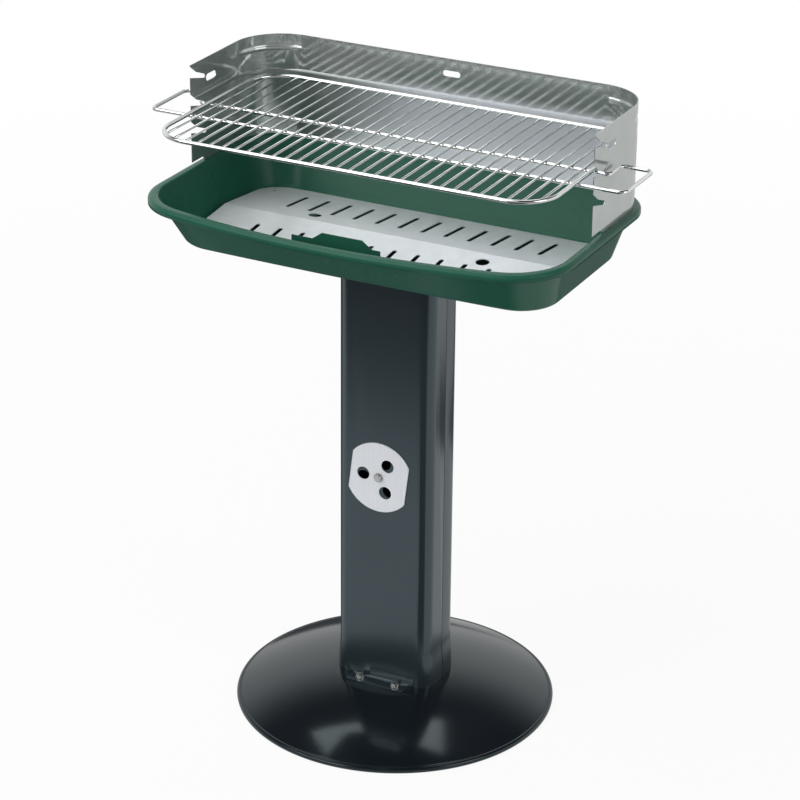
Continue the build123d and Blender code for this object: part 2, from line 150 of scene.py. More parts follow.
# Gloss black enamel fired on steel: a hard glossy surface over near black, with the faint orange peel of
# spraying, about 6 mm across, and a slight cloudiness some 10 cm wide
black_enamel = new_material("gloss_black_enamel")
place = add(black_enamel, "ShaderNodeTexCoord").outputs["Object"]
cloud = add(black_enamel, "ShaderNodeTexNoise", {"Vector": place, "Scale": 9.0, "Detail": 3.0}).outputs["Fac"]
tint = add(black_enamel, "ShaderNodeValToRGB", {"Fac": cloud})
tint.color_ramp.elements[0].color = linear("#0e1216")
tint.color_ramp.elements[1].color = linear("#171c22")
rough = add(black_enamel, "ShaderNodeMapRange", {"Value": cloud, "To Min": 0.09, "To Max": 0.16})
fine = {"Vector": place, "Scale": 160.0, "Detail": 1.0}
peel = add(black_enamel, "ShaderNodeTexNoise", fine).outputs["Fac"]
bump = add(black_enamel, "ShaderNodeBump", {"Strength": 0.02, "Distance": 0.001, "Height": peel})
shine = add(
    black_enamel,
    "ShaderNodeBsdfPrincipled",
    {
        "Base Color": tint.outputs["Color"],
        "Roughness": rough.outputs["Result"],
        "IOR": 1.5,
        "Specular Tint": linear("#dcf4f8"),
        "Normal": bump.outputs["Normal"],
    },
)
add(black_enamel, "ShaderNodeOutputMaterial", {"Surface": shine.outputs["BSDF"]})
plinth.data.materials.append(black_enamel)
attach(plinth, "stand")
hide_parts("base_plinth")

# Column
# Two half shells of pressed steel sheet with a lapped seam on each side, their sides swaged at the foot.
# Bent flanges at the foot are bolted down to the plinth. The paint is a gloss anthracite.
column_half = 0.0685
column_corner = 0.018
column_seam_y = 0.002
seam_groove = 0.0007
seam_tolerance = 0.0002
swage_grow = 0.0022
swage_bottom = 0.058
swage_top = 0.090
swage_margin = 0.001
swage_cuts = 9
cut_tolerance = 1e-7
fold_angle = 35


def smoothed_copy(node, name, angle, levels=(), reshape=None):
    """A merged copy of a CAD node, cut at levels, reshaped, and smooth over edges flatter than angle."""
    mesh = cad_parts[node].data.copy()
    mesh.name = name
    welded = bmesh.new()
    welded.from_mesh(mesh)
    bmesh.ops.remove_doubles(welded, verts=welded.verts, dist=merge_distance)
    for height in levels:
        whole = welded.verts[:] + welded.edges[:] + welded.faces[:]
        level_cut = {"plane_co": (0, 0, height), "plane_no": (0, 0, 1)}
        bmesh.ops.bisect_plane(welded, geom=whole, dist=cut_tolerance, **level_cut)
    welded.to_mesh(mesh)
    welded.free()
    if reshape:
        points = np.empty(3 * len(mesh.vertices))
        mesh.vertices.foreach_get("co", points)
        mesh.vertices.foreach_set("co", reshape(points.reshape(-1, 3)).ravel())
    mesh.materials.clear()
    mesh.shade_smooth()
    mesh.set_sharp_from_angle(angle=math.radians(angle))
    piece = bpy.data.objects.new(name, mesh)
    bpy.context.scene.collection.objects.link(piece)
    piece.modifiers.new("flat_faces_lead", "WEIGHTED_NORMAL").keep_sharp = True
    return piece


def pressed_shell(points):
    """Ease the swage's straight taper into an S by a smoothstep, and open the seam to a narrow groove."""
    share = np.clip((swage_top - points[:, 2]) / (swage_top - swage_bottom), 0, 1)
    extra = swage_grow * (share**2 * (3 - 2 * share) - share)
    core = column_half - column_corner
    toward_side = np.clip((np.abs(points[:, 0]) - core) / column_corner, 0, 1) * np.sign(points[:, 0])
    shaped = points.copy()
    shaped[:, 0] += extra * toward_side
    at_seam = np.abs(points[:, 1] - column_seam_y) < seam_tolerance
    front_side = points[:, 1].mean() < 0
    shaped[at_seam, 1] += -seam_groove if front_side else seam_groove
    return shaped


# Anthracite stove paint, sprayed and baked: dark blue grey with a strong gloss, so its IOR is above a plain
# paint's, with faint orange peel 6 mm across and a little cloudiness some 15 cm wide
anthracite = new_material("gloss_anthracite_paint")
place = add(anthracite, "ShaderNodeTexCoord").outputs["Object"]
cloud = add(anthracite, "ShaderNodeTexNoise", {"Vector": place, "Scale": 6.0, "Detail": 2.0}).outputs["Fac"]
tint = add(anthracite, "ShaderNodeValToRGB", {"Fac": cloud})
tint.color_ramp.elements[0].color = linear("#1d2428")
tint.color_ramp.elements[1].color = linear("#252d32")
rough = add(anthracite, "ShaderNodeMapRange", {"Value": cloud, "To Min": 0.14, "To Max": 0.22})
fine = {"Vector": place, "Scale": 170.0, "Detail": 1.0}
peel = add(anthracite, "ShaderNodeTexNoise", fine).outputs["Fac"]
bump = add(anthracite, "ShaderNodeBump", {"Strength": 0.02, "Distance": 0.001, "Height": peel})
shine = add(
    anthracite,
    "ShaderNodeBsdfPrincipled",
    {
        "Base Color": tint.outputs["Color"],
        "Roughness": rough.outputs["Result"],
        "IOR": 1.75,
        "Specular Tint": linear("#dbf6ff"),
        "Normal": bump.outputs["Normal"],
    },
)
add(anthracite, "ShaderNodeOutputMaterial", {"Surface": shine.outputs["BSDF"]})

swage_levels = np.linspace(swage_bottom - swage_margin, swage_top + swage_margin, swage_cuts)
for name, node in (("column_front", "column_front_shell"), ("column_rear", "column_rear_shell")):
    shell = smoothed_copy(node, name, fold_angle, swage_levels, pressed_shell)
    shell.data.materials.append(anthracite)
    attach(shell, "stand")
    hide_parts(node)

# Fasteners
# Hexagon bolts with washers and nuts, four at the foot and four under the pan, and the damper's pivot screw.
# Rivets hold the plate's handle. All are steel with bright zinc plate.
fastener_edge_angle = 32

# Bright zinc plated on in a bath: a soft pale shine with cloudy spots about 3 mm wide
zinc = new_material("bright_zinc_plate")
place = add(zinc, "ShaderNodeTexCoord").outputs["Object"]
cloud = add(zinc, "ShaderNodeTexNoise", {"Vector": place, "Scale": 300.0, "Detail": 2.0}).outputs["Fac"]
tint = add(zinc, "ShaderNodeValToRGB", {"Fac": cloud})
tint.color_ramp.elements[0].color = linear("#bfc2c2")
tint.color_ramp.elements[1].color = linear("#d9dad6")
rough = add(zinc, "ShaderNodeMapRange", {"Value": cloud, "To Min": 0.18, "To Max": 0.36})
shine = add(
    zinc,
    "ShaderNodeBsdfPrincipled",
    {"Base Color": tint.outputs["Color"], "Metallic": 1.0, "Roughness": rough.outputs["Result"]},
)
add(zinc, "ShaderNodeOutputMaterial", {"Surface": shine.outputs["BSDF"]})
stand_fasteners = (
    "foot_bolts", "foot_washers", "foot_nuts", "pan_bolts", "pan_washers", "pan_nuts",
    "damper_washer", "damper_pivot", "damper_nut",
)
for node in (*stand_fasteners, "handle_rivets"):
    fastener = smoothed_copy(node, f"zinc_{node}", fastener_edge_angle)
    fastener.data.materials.append(zinc)
    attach(fastener, "plate" if node == "handle_rivets" else "stand")
    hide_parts(node)

# Fire pan
# Deep drawn from one steel sheet: a flat floor, sloped walls, a flat rim and a rounded lip turned down.
# Vitreous enamel in dark green covers it all over.
pan_half = 0.278
pan_front = -0.1645
pan_rear = 0.143
pan_bow = 0.0385
pan_front_radius = 0.075
pan_rear_radius = 0.063
floor_bow = 0.005
floor_radius = 0.045
inset_end = 0.0255
inset_front = 0.0395
inset_rear = 0.026
draught_radius = 0.030
pan_rim = 0.7200
pan_floor = 0.6500
rim_flat = 0.0085
lip_reach = 0.0120
lip_foot = 0.7110
lip_shoulder = 0.7178
lip_hollow = 0.7160
wall_foot_reach = 0.0050
wall_foot = 0.6550
edge_cut = 0.0022
corner_steps = 22
side_steps = 12
bow_steps = 44
edge_steps = 6


def arc(centre_x, centre_y, radius, start, end, steps):
    """Points on a circle's arc between two bearings in radians."""
    bearing = np.linspace(start, end, steps)
    return np.stack([centre_x + radius * np.cos(bearing), centre_y + radius * np.sin(bearing)], axis=1)


def pan_ring(grow, share, height, gather):
    """The pan's outline at one height: grown by grow, drawn in to the floor by share, gathered to the hole.

    The front is an arc whose rise is the bow. Each front corner is a circle that touches it and the end.
    """
    half = pan_half + grow - share * inset_end
    front = pan_front - grow + share * inset_front
    rear = pan_rear + grow - share * inset_rear
    bow = pan_bow + share * (floor_bow - pan_bow)
    near = pan_front_radius + grow + share * (floor_radius - pan_front_radius)
    far = pan_rear_radius + grow + share * (floor_radius - pan_rear_radius)
    sweep = (half**2 + bow**2) / (2 * bow)
    sweep_y = front - bow + sweep
    near_y = sweep_y - math.sqrt((sweep - near) ** 2 - (half - near) ** 2)
    meet = math.atan2(near_y - sweep_y, half - near)
    quarter = math.pi / 2
    corner_right = arc(half - near, near_y, near, meet, 0, corner_steps)
    end_right = np.linspace(corner_right[-1], (half, rear - far), side_steps)[1:]
    back_right = arc(half - far, rear - far, far, 0, quarter, corner_steps)[1:]
    back_half = np.linspace(back_right[-1], (0, rear), side_steps)[1:]
    right_half = np.concatenate([corner_right, end_right, back_right, back_half])
    left_half = right_half[-2::-1] * (-1, 1)
    bow_line = arc(0, sweep_y, sweep, -math.pi - meet, meet, bow_steps)[1:-1]
    ring = np.concatenate([right_half, left_half, bow_line])
    bearing = np.arctan2(ring[:, 1], ring[:, 0])
    hole = draught_radius * np.stack([np.cos(bearing), np.sin(bearing)], axis=1)
    ring = ring * (1 - gather) + hole * gather
    return np.column_stack([ring, np.full(len(ring), height)])


def eased(keys, cut):
    """A line of key points, each inner corner replaced by a parabola that starts and ends cut away from it.

    A key's two shares count as rough lengths, the wall's inset and the floor's width, along each step.
    """
    keys = np.array(keys, float)
    step = np.diff(keys, axis=0)
    as_lengths = (1, 0.04, 1, 0.1)
    most_of_step = 0.45
    run = np.linalg.norm(step * as_lengths, axis=1)[:, None]
    back = np.minimum(cut / run, most_of_step)
    start = keys[1:-1] - step[:-1] * back[:-1]
    end = keys[1:-1] + step[1:] * back[1:]
    t = np.linspace(0, 1, edge_steps)[None, :, None]
    curve = start[:, None] * (1 - t) ** 2 + 2 * keys[1:-1, None] * t * (1 - t) + end[:, None] * t**2
    return np.concatenate([keys[:1], curve.reshape(-1, keys.shape[1]), keys[-1:]])


# Each key: outward growth, share drawn in to the floor, height, share gathered to the draught hole
upper_side = eased(
    [
        (lip_reach, 0, lip_foot, 0),
        (lip_reach, 0, lip_shoulder, 0),
        (rim_flat, 0, pan_rim, 0),
        (0, 0, pan_rim, 0),
        (wall_foot_reach, 1, wall_foot, 0),
        (0, 1, pan_floor + sheet, 0),
        (0, 1, pan_floor + sheet, 1),
    ],
    edge_cut,
)
under_side = eased(
    [
        (0, 1, pan_floor, 1),
        (sheet, 1, pan_floor, 0),
        (wall_foot_reach + sheet, 1, wall_foot - sheet, 0),
        (sheet, 0, pan_rim - sheet, 0),
        (rim_flat - sheet, 0, pan_rim - sheet, 0),
        (lip_reach - sheet, 0, lip_hollow, 0),
        (lip_reach - sheet, 0, lip_foot, 0),
    ],
    edge_cut,
)
pan_rings = np.stack([pan_ring(*key) for key in np.concatenate([upper_side, under_side])])
pan = grid_piece("enamelled_pan", pan_rings, wrap_rows=True, wrap_columns=True)

# Vitreous enamel: glass fused on steel, deep green with a soft gloss, a faint ripple about 8 mm across where
# it flowed and thin cloudy patches of lighter green some 15 cm wide
green_enamel = new_material("green_vitreous_enamel")
place = add(green_enamel, "ShaderNodeTexCoord").outputs["Object"]
cloud = add(green_enamel, "ShaderNodeTexNoise", {"Vector": place, "Scale": 7.0, "Detail": 3.0}).outputs["Fac"]
tint = add(green_enamel, "ShaderNodeValToRGB", {"Fac": cloud})
tint.color_ramp.elements[0].color = linear("#1d4e3e")
tint.color_ramp.elements[1].color = linear("#265b49")
rough = add(green_enamel, "ShaderNodeMapRange", {"Value": cloud, "To Min": 0.22, "To Max": 0.32})
fine = {"Vector": place, "Scale": 130.0, "Detail": 1.0}
peel = add(green_enamel, "ShaderNodeTexNoise", fine).outputs["Fac"]
bump = add(green_enamel, "ShaderNodeBump", {"Strength": 0.02, "Distance": 0.001, "Height": peel})
shine = add(
    green_enamel,
    "ShaderNodeBsdfPrincipled",
    {
        "Base Color": tint.outputs["Color"],
        "Roughness": rough.outputs["Result"],
        "IOR": 1.5,
        "Specular IOR Level": 0.16,
        "Normal": bump.outputs["Normal"],
    },
)
add(green_enamel, "ShaderNodeOutputMaterial", {"Surface": shine.outputs["BSDF"]})
pan.data.materials.append(green_enamel)
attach(pan, "stand")
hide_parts("fire_pan")

# Air damper
# A disc of plain aluminium sheet with two flats and three ports, held on the column's front by one screw.
# Its surface is the mill finish: pale, satin, with faint rolling lines about 1.5 mm apart.
damper_sheet = new_material("mill_aluminium_sheet")
place = add(damper_sheet, "ShaderNodeTexCoord").outputs["Object"]
upright = {"Vector": place, "Scale": (700.0, 700.0, 12.0)}
rolled = add(damper_sheet, "ShaderNodeMapping", upright).outputs["Vector"]
streaks = {"Vector": rolled, "Scale": 1.0, "Detail": 2.0}
lines = add(damper_sheet, "ShaderNodeTexNoise", streaks).outputs["Fac"]
tint = add(damper_sheet, "ShaderNodeValToRGB", {"Fac": lines})
tint.color_ramp.elements[0].color = linear("#dde0e6")
tint.color_ramp.elements[1].color = linear("#eceff3")
rough = add(damper_sheet, "ShaderNodeMapRange", {"Value": lines, "To Min": 0.36, "To Max": 0.5})
shine = add(
    damper_sheet,
    "ShaderNodeBsdfPrincipled",
    {"Base Color": tint.outputs["Color"], "Metallic": 0.3, "Roughness": rough.outputs["Result"]},
)
add(damper_sheet, "ShaderNodeOutputMaterial", {"Surface": shine.outputs["BSDF"]})
damper = smoothed_copy("air_damper", "damper_disc", fold_angle)
damper.data.materials.append(damper_sheet)
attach(damper, "damper")
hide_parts("air_damper")

# Charcoal plate
# A low roof of aluminised steel sheet punched with slots, loose on the pan's floor.
# A bent strip riveted to its front edge is the lifting handle, enamelled like the pan.
plate_edge_angle = 25

# Steel sheet dipped in molten aluminium and rolled: a dulled satin metal with pale clouds about 25 mm wide.
# Its rolling lines are too fine to show and are drawn 2 mm apart.
plate_sheet = new_material("aluminised_steel_sheet")
place = add(plate_sheet, "ShaderNodeTexCoord").outputs["Object"]
cloud = add(plate_sheet, "ShaderNodeTexNoise", {"Vector": place, "Scale": 40.0, "Detail": 3.0}).outputs["Fac"]
front_to_back = {"Vector": place, "Scale": (500.0, 8.0, 8.0)}
rolled = add(plate_sheet, "ShaderNodeMapping", front_to_back).outputs["Vector"]
streaks = {"Vector": rolled, "Scale": 1.0, "Detail": 2.0}
lines = add(plate_sheet, "ShaderNodeTexNoise", streaks).outputs["Fac"]
tint = add(plate_sheet, "ShaderNodeValToRGB", {"Fac": cloud})
tint.color_ramp.elements[0].color = linear("#ccd1d3")
tint.color_ramp.elements[1].color = linear("#e2e6e8")
rough = add(plate_sheet, "ShaderNodeMapRange", {"Value": lines, "To Min": 0.32, "To Max": 0.5})
shine = add(
    plate_sheet,
    "ShaderNodeBsdfPrincipled",
    {"Base Color": tint.outputs["Color"], "Metallic": 0.45, "Roughness": rough.outputs["Result"]},
)
add(plate_sheet, "ShaderNodeOutputMaterial", {"Surface": shine.outputs["BSDF"]})
for name, node, finish, slot in (
    ("slotted_plate", "charcoal_plate", plate_sheet, "plate_steel"),
    ("lifting_handle", "plate_handle", green_enamel, "enamel"),
):
    piece = smoothed_copy(node, name, plate_edge_angle)
    piece.data.materials.append(finish)
    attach(piece, "plate")
    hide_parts(node)

# Windshield
# A strip of polished stainless sheet bent to a U, notched at both front edges for three grid heights.
# A short horizontal bead is pressed into each rear corner to stiffen the bend.
shield_half = 0.280
shield_rear = 0.145
shield_radius = 0.065
shield_bend_x = shield_half - shield_radius
shield_bend_y = shield_rear - shield_radius
bend_skin = 0.003
corner_bead_z = 0.838
corner_bead_half = 0.0045
corner_bead_depth = 0.0018
corner_bead_fade = 12
corner_bead_cuts = 11
haze_share = 0.34
haze_roughness = 0.55
# A painted reflection: a pale patch on the back's right, below the grid, standing in for the lit plate's
# image
painted_sheen_share = 0.85
painted_sheen_left = -0.22
painted_sheen_right = -0.02
painted_sheen_low = 0.800
painted_sheen_high = 0.824
painted_sheen_front = 0.10
painted_sheen_back = 0.14


def beaded_corners(points):
    """Press a bead into each rear bend: a raised cosine in height that fades out at both ends of the bend."""
    side = points[:, 0] - np.sign(points[:, 0]) * shield_bend_x
    back = points[:, 1] - shield_bend_y
    radius = np.hypot(side, back)
    bearing = np.degrees(np.arctan2(back, side * np.sign(points[:, 0])))
    lift = np.clip((points[:, 2] - corner_bead_z) / corner_bead_half, -1, 1)
    fade = np.clip(np.minimum(bearing, 90 - bearing) / corner_bead_fade, 0, 1)
    fade *= radius > shield_radius - bend_skin
    inward = corner_bead_depth * 0.5 * (1 + np.cos(np.pi * lift)) * fade / radius
    pressed = points.copy()
    pressed[:, 0] -= inward * side
    pressed[:, 1] -= inward * back
    return pressed


bead_levels = corner_bead_z + corner_bead_half * np.linspace(-1, 1, corner_bead_cuts)
shield = smoothed_copy("windshield", "bright_windshield", fold_angle, bead_levels, beaded_corners)

# Bright rolled stainless steel: a slightly blurred mirror with shallow waves 10 to 20 cm wide where the thin
# sheet was bent, finger-sized dull smears, and a haze that the rolls left over all of it. On the back's
# right, below the cooking grid, a pale patch is painted in. It is a painted reflection of the lit charcoal
# plate and hides more of the mirror there.
bright_steel = new_material("bright_stainless_sheet")
place = add(bright_steel, "ShaderNodeTexCoord").outputs["Object"]
wave = add(bright_steel, "ShaderNodeTexNoise", {"Vector": place, "Scale": 7.0, "Detail": 1.0}).outputs["Fac"]
smears = {"Vector": place, "Scale": 35.0, "Detail": 3.0}
smear = add(bright_steel, "ShaderNodeTexNoise", smears).outputs["Fac"]
tint = add(bright_steel, "ShaderNodeValToRGB", {"Fac": smear})
tint.color_ramp.elements[0].color = linear("#b2b8b5")
tint.color_ramp.elements[1].color = linear("#c5cac7")
rough = add(bright_steel, "ShaderNodeMapRange", {"Value": smear, "To Min": 0.06, "To Max": 0.14})
bump = add(bright_steel, "ShaderNodeBump", {"Strength": 0.12, "Distance": 0.003, "Height": wave})
metal = {"Base Color": tint.outputs["Color"], "Metallic": 1.0, "Normal": bump.outputs["Normal"]}
shine = add(bright_steel, "ShaderNodeBsdfPrincipled", {**metal, "Roughness": rough.outputs["Result"]})
haze = add(bright_steel, "ShaderNodeBsdfPrincipled", {**metal, "Roughness": haze_roughness})
bright = add(bright_steel, "ShaderNodeMixShader", {0: haze_share, 1: shine.outputs[0], 2: haze.outputs[0]})
# Mask of the painted reflection: a box on the back, faded in from the left, from above the grid level and
# from the front
spot = add(bright_steel, "ShaderNodeSeparateXYZ", {"Vector": place}).outputs
painted_sheen_mask = painted_sheen_share
for axis, none, full in (
    ("X", painted_sheen_left, painted_sheen_right),
    ("Z", painted_sheen_high, painted_sheen_low),
    ("Y", painted_sheen_front, painted_sheen_back),
):
    edge = {"Value": spot[axis], "From Min": none, "From Max": full}
    fade = add(bright_steel, "ShaderNodeMapRange", edge, interpolation_type="SMOOTHSTEP").outputs["Result"]
    product = {0: painted_sheen_mask, 1: fade}
    painted_sheen_mask = add(bright_steel, "ShaderNodeMath", product, operation="MULTIPLY").outputs[0]
# Pale metal laid over the mask: a painted reflection of the lit plate, not a finish of the steel
painted_sheen_metal = {**metal, "Base Color": linear("#eceef4"), "Roughness": haze_roughness}
painted_sheen = add(bright_steel, "ShaderNodeBsdfPrincipled", painted_sheen_metal)
haze_and_painted_sheen = {0: painted_sheen_mask, 1: bright.outputs[0], 2: painted_sheen.outputs[0]}
both = add(bright_steel, "ShaderNodeMixShader", haze_and_painted_sheen)
add(bright_steel, "ShaderNodeOutputMaterial", {"Surface": both.outputs[0]})
shield.data.materials.append(bright_steel)
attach(shield, "shield")
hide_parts("windshield")

# Cooking grid
# Chromed wire: a rounded frame, thin cross bars inside it and one long loop that passes the notches
# and makes a handle at each side. All joints are spot welds.
grid_level = 0.797
loop_wire = 0.0025
frame_wire = 0.00275
bar_wire = 0.0015
weld_gap = 0.00005
frame_level = grid_level + loop_wire + frame_wire + weld_gap
bar_level = grid_level + loop_wire + bar_wire + weld_gap
frame_half = 0.268
frame_front = -0.160
frame_rear = 0.133
frame_corner = 0.050
handle_half = 0.329
handle_front = -0.056
handle_rear = 0.031
handle_bend = 0.009
neck_x = 0.2875
neck_bend = 0.006
notch_y = -0.005
wire_steps = 16
frame_corner_steps = 20
loop_bend_steps = 12
tiny = 1e-9


def rounded_path(corners, radii, arc_steps):
    """A closed line through corner points, each turned by an arc that is centred on the corner's bisector."""
    corners = np.array(corners, float)
    before = np.roll(corners, 1, axis=0) - corners
    after = np.roll(corners, -1, axis=0) - corners
    before /= np.linalg.norm(before, axis=1)[:, None]
    after /= np.linalg.norm(after, axis=1)[:, None]
    half = np.arccos(np.clip((before * after).sum(1), -1, 1)) / 2
    middle = before + after
    middle /= np.maximum(np.linalg.norm(middle, axis=1), tiny)[:, None]
    radii = np.broadcast_to(np.array(radii, float), len(corners))[:, None, None]
    centre = corners[:, None] + middle[:, None] * radii / np.sin(half)[:, None, None]
    share = np.linspace(-1, 1, arc_steps)[None, :, None]
    swing = (np.pi / 2 - half)[:, None, None] * share
    sideways = after - before
    sideways /= np.linalg.norm(sideways, axis=1)[:, None]
    arcs = centre + radii * (-middle[:, None] * np.cos(swing) + sideways[:, None] * np.sin(swing))
    return arcs.reshape(-1, corners.shape[1])


def wire_along(path, radius, height):
    """A round wire along a closed flat path: a circle square to the path at each of its points."""
    ahead = np.roll(path, -1, axis=0) - np.roll(path, 1, axis=0)
    ahead /= np.linalg.norm(ahead, axis=1)[:, None]
    across = np.stack([-ahead[:, 1], ahead[:, 0]], axis=1)
    turn = np.linspace(0, 2 * np.pi, wire_steps, endpoint=False)
    flat = path[:, None] + radius * across[:, None] * np.cos(turn)[None, :, None]
    upright = np.broadcast_to(height + radius * np.sin(turn), flat.shape[:2])
    return np.concatenate([flat, upright[..., None]], axis=2)


frame_corners = [
    (frame_half, frame_front), (frame_half, frame_rear), (-frame_half, frame_rear), (-frame_half, frame_front)
]
frame_path = rounded_path(frame_corners, frame_corner, frame_corner_steps)
frame_ring = grid_piece("grid_frame_wire", wire_along(frame_path, frame_wire, frame_level), True, True)

loop_right = [
    (handle_half, handle_front), (handle_half, handle_rear), (neck_x, handle_rear), (neck_x, notch_y)
]
loop_corners = loop_right + [(-x, y) for x, y in loop_right[::-1]]
bends_right = [handle_bend, handle_bend, neck_bend, neck_bend]
loop_path = rounded_path(loop_corners, bends_right + bends_right[::-1], loop_bend_steps)
handle_loop = grid_piece("grid_handle_wire", wire_along(loop_path, loop_wire, grid_level), True, True)

# Cross bars: straight wires that stop inside the frame's rounded outline. Shares of a bar's length and radius
# give it blunt, slightly rounded ends.
bar_count = 30
bar_spread = 0.2552
bar_steps = 12
bar_stations = np.array([0, 0.0005, 0.0015, 0.9985, 0.9995, 1])
bar_girths = bar_wire * np.array([0, 0.7, 1, 1, 0.7, 0])[None, :, None]
bar_x = np.linspace(-bar_spread, bar_spread, bar_count)
corner_in = frame_corner - frame_wire
past = np.maximum(np.abs(bar_x) + bar_wire - (frame_half - frame_corner), 0)
trim = corner_in - np.sqrt(corner_in**2 - past**2)
bar_front = frame_front + frame_wire + trim
bar_rear = frame_rear - frame_wire - trim
turn = np.linspace(0, 2 * np.pi, bar_steps, endpoint=False)
bar_y = bar_front[:, None] + (bar_rear - bar_front)[:, None] * bar_stations
bar_shape = (bar_count, len(bar_stations), bar_steps)
bar_points = np.stack(
    [
        bar_x[:, None, None] + bar_girths * np.cos(turn),
        np.broadcast_to(bar_y[:, :, None], bar_shape),
        np.broadcast_to(bar_level + bar_girths * np.sin(turn), bar_shape),
    ],
    axis=-1,
)
cross_bars = grid_piece("grid_cross_bars", bar_points, wrap_columns=True)

# Spot welds: a flattened ball of metal at each crossing of a bar and the loop, and at each bar end
weld_radius = 0.0019
weld_flatness = 0.8
weld_inset = 0.0008
weld_drop = 0.0012
weld_rows = 7
loop_runs = np.array([handle_front, notch_y])
weld_x = np.concatenate([np.repeat(bar_x, 2), bar_x, bar_x])
weld_y = np.concatenate([np.tile(loop_runs, bar_count), bar_front + weld_inset, bar_rear - weld_inset])
under_bar = bar_level - weld_drop
weld_z = np.concatenate([np.full(2 * bar_count, under_bar), np.full(2 * bar_count, bar_level)])
lean = np.linspace(-np.pi / 2, np.pi / 2, weld_rows)
weld_shape = (len(weld_x), weld_rows, bar_steps)
weld_ring = weld_radius * np.cos(lean)[None, :, None]
weld_lift = weld_flatness * weld_radius * np.sin(lean)[None, :, None]
weld_points = np.stack(
    [
        weld_x[:, None, None] + weld_ring * np.cos(turn),
        weld_y[:, None, None] + weld_ring * np.sin(turn),
        np.broadcast_to(weld_z[:, None, None] + weld_lift, weld_shape),
    ],
    axis=-1,
)
welds = grid_piece("grid_spot_welds", weld_points, wrap_columns=True)

# Bright chrome on drawn wire: a mirror with die lines along it too fine to show, so only a slight unevenness
# of gloss, about 1 cm long, is drawn
chrome = new_material("bright_chrome_wire")
place = add(chrome, "ShaderNodeTexCoord").outputs["Object"]
cloud = add(chrome, "ShaderNodeTexNoise", {"Vector": place, "Scale": 90.0, "Detail": 2.0}).outputs["Fac"]
tint = add(chrome, "ShaderNodeValToRGB", {"Fac": cloud})
tint.color_ramp.elements[0].color = linear("#cfd1d1")
tint.color_ramp.elements[1].color = linear("#e2e4e4")
rough = add(chrome, "ShaderNodeMapRange", {"Value": cloud, "To Min": 0.06, "To Max": 0.16})
shine = add(
    chrome,
    "ShaderNodeBsdfPrincipled",
    {"Base Color": tint.outputs["Color"], "Metallic": 1.0, "Roughness": rough.outputs["Result"]},
)
add(chrome, "ShaderNodeOutputMaterial", {"Surface": shine.outputs["BSDF"]})
for piece in (frame_ring, handle_loop, cross_bars, welds):
    piece.data.materials.append(chrome)
    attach(piece, "grid")
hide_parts("grid_frame")
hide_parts("grid_handle_loop")
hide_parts("grid_bars")

# Studio
# A pale floor that keeps the shadow, a white surround with a darker ceiling, and broad soft lamps.
floor_half = 6.0
near_glow = 0.91
fade_start = 0.5
fade_end = 2.8
front_start = -0.55
front_end = -1.25
front_gloss = 0.08
side_gloss = 0.8
ceiling_start = 0.42
ceiling_end = 0.72
ceiling_level = 0.06
backdrop_front = -0.35
backdrop_back = 0.2
backdrop_front_level = 0.4
surround_level = 0.45
lamp_aim = Vector((0, 0, 0.5))
side = np.linspace(-floor_half, floor_half, 2)
floor_points = np.stack(np.meshgrid(side, side, [0.0], indexing="ij"), axis=-1)[:, :, 0]
floor = grid_piece("studio_floor", floor_points)
pale = new_material("pale_floor")


def seen_rays(material):
    """Two shares of one or nothing: rays from the camera, and rays seen in a gloss or through glass."""
    rays = add(material, "ShaderNodeLightPath").outputs
    gloss = {0: rays["Is Glossy Ray"], 1: rays["Is Transmission Ray"]}
    return rays["Is Camera Ray"], add(material, "ShaderNodeMath", gloss, operation="MAXIMUM").outputs[0]


# The floor glows white to the camera: fully far away, and less near the object, where it keeps the shadow.
# Gloss and metal see it bright beside and behind the object and fading out towards the front.
direct, mirrored = seen_rays(pale)
place = add(pale, "ShaderNodeTexCoord").outputs["Object"]
away = add(pale, "ShaderNodeVectorMath", {0: place}, operation="LENGTH").outputs["Value"]
near = {"Value": away, "From Min": fade_start, "From Max": fade_end, "To Min": near_glow, "To Max": 1.0}
near_direct = add(pale, "ShaderNodeMapRange", near).outputs["Result"]
share_direct = add(pale, "ShaderNodeMath", {0: direct, 1: near_direct}, operation="MULTIPLY").outputs[0]
share = add(pale, "ShaderNodeMath", {0: share_direct, 1: mirrored}, operation="MAXIMUM").outputs[0]
along = add(pale, "ShaderNodeSeparateXYZ", {"Vector": place}).outputs["Y"]
front = {
    "Value": along,
    "From Min": front_end,
    "From Max": front_start,
    "To Min": front_gloss,
    "To Max": side_gloss,
}
level = add(pale, "ShaderNodeMapRange", front, interpolation_type="SMOOTHSTEP").outputs["Result"]
strength = add(pale, "ShaderNodeMix", {0: mirrored, 2: 1.0, 3: level}).outputs[0]
matt = add(pale, "ShaderNodeBsdfDiffuse", {"Color": linear("#dcdcdc")})
glow = add(pale, "ShaderNodeEmission", {"Color": linear("#ffffff"), "Strength": strength})
both = add(pale, "ShaderNodeMixShader", {0: share, 1: matt.outputs[0], 2: glow.outputs[0]})
add(pale, "ShaderNodeOutputMaterial", {"Surface": both.outputs[0]})
floor.data.materials.append(pale)

